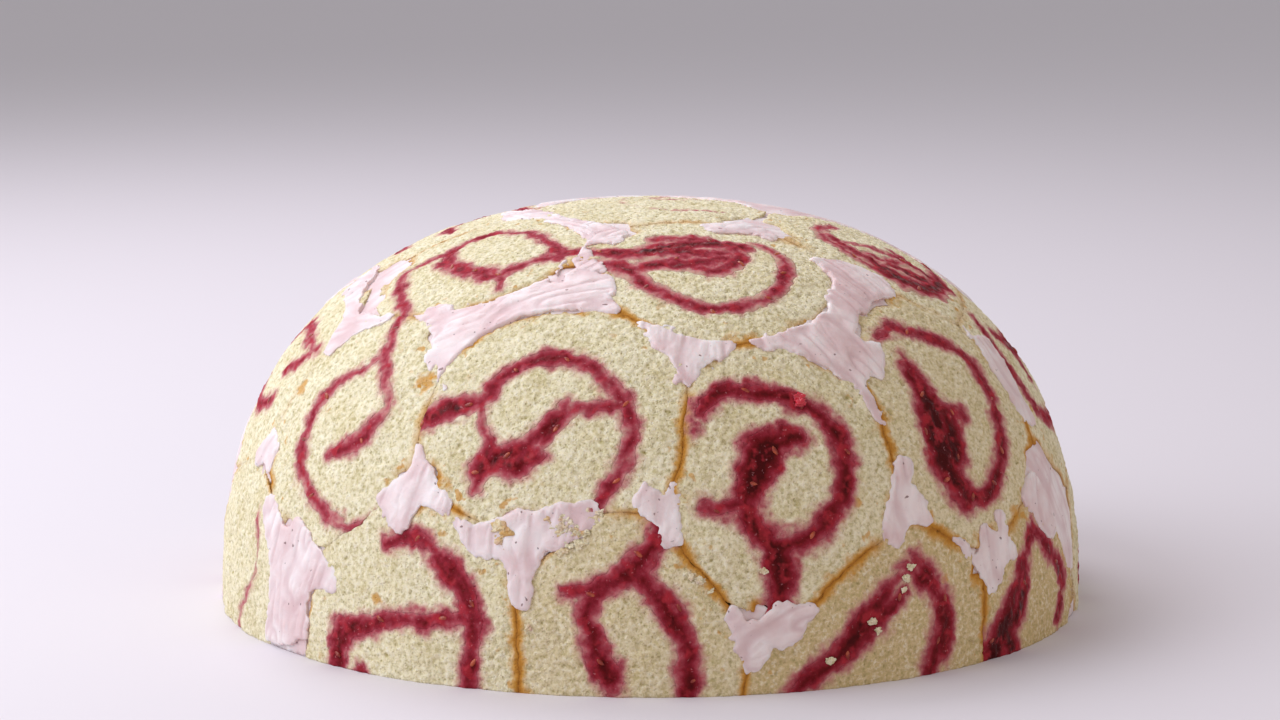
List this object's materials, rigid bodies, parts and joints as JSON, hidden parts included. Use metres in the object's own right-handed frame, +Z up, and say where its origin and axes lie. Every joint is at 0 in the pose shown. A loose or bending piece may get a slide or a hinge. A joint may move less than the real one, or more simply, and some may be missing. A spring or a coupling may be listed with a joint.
{
  "type": "charlotte royale",
  "caption": "Domed cake of jam-swirled sponge roll slices set round a pale pink mousse, flat underneath.",
  "frame": {"origin": "centre of the flat underside", "axes": "+Z up through the top of the dome; -Y is the side the picture shows"},
  "size_m": [0.1999, 0.2, 0.0915],
  "materials": {
    "sponge": "open dry crumb of a butterless sponge, golden brown at the rolled skin",
    "jam": "sticky raspberry jam with seeds",
    "mousse": "set mousse with the creases of a film lining"
  },
  "bodies": {
    "root": {"jam_crown": "jam", "jam_lower_1": "jam", "jam_lower_10": "jam", "jam_lower_11": "jam", "jam_lower_2": "jam", "jam_lower_3": "jam", "jam_lower_4": "jam", "jam_lower_5": "jam", "jam_lower_6": "jam", "jam_lower_7": "jam", "jam_lower_8": "jam", "jam_lower_9": "jam", "jam_middle_1": "jam", "jam_middle_10": "jam", "jam_middle_11": "jam", "jam_middle_2": "jam", "jam_middle_3": "jam", "jam_middle_4": "jam", "jam_middle_5": "jam", "jam_middle_6": "jam", "jam_middle_7": "jam", "jam_middle_8": "jam", "jam_middle_9": "jam", "jam_upper_1": "jam", "jam_upper_2": "jam", "jam_upper_3": "jam", "jam_upper_4": "jam", "jam_upper_5": "jam", "jam_upper_6": "jam", "mousse": "mousse", "sponge_crown": "sponge", "sponge_lower_1": "sponge", "sponge_lower_10": "sponge", "sponge_lower_11": "sponge", "sponge_lower_2": "sponge", "sponge_lower_3": "sponge", "sponge_lower_4": "sponge", "sponge_lower_5": "sponge", "sponge_lower_6": "sponge", "sponge_lower_7": "sponge", "sponge_lower_8": "sponge", "sponge_lower_9": "sponge", "sponge_middle_1": "sponge", "sponge_middle_10": "sponge", "sponge_middle_11": "sponge", "sponge_middle_2": "sponge", "sponge_middle_3": "sponge", "sponge_middle_4": "sponge", "sponge_middle_5": "sponge", "sponge_middle_6": "sponge", "sponge_middle_7": "sponge", "sponge_middle_8": "sponge", "sponge_middle_9": "sponge", "sponge_upper_1": "sponge", "sponge_upper_2": "sponge", "sponge_upper_3": "sponge", "sponge_upper_4": "sponge", "sponge_upper_5": "sponge", "sponge_upper_6": "sponge"}
  },
  "joints": []
}
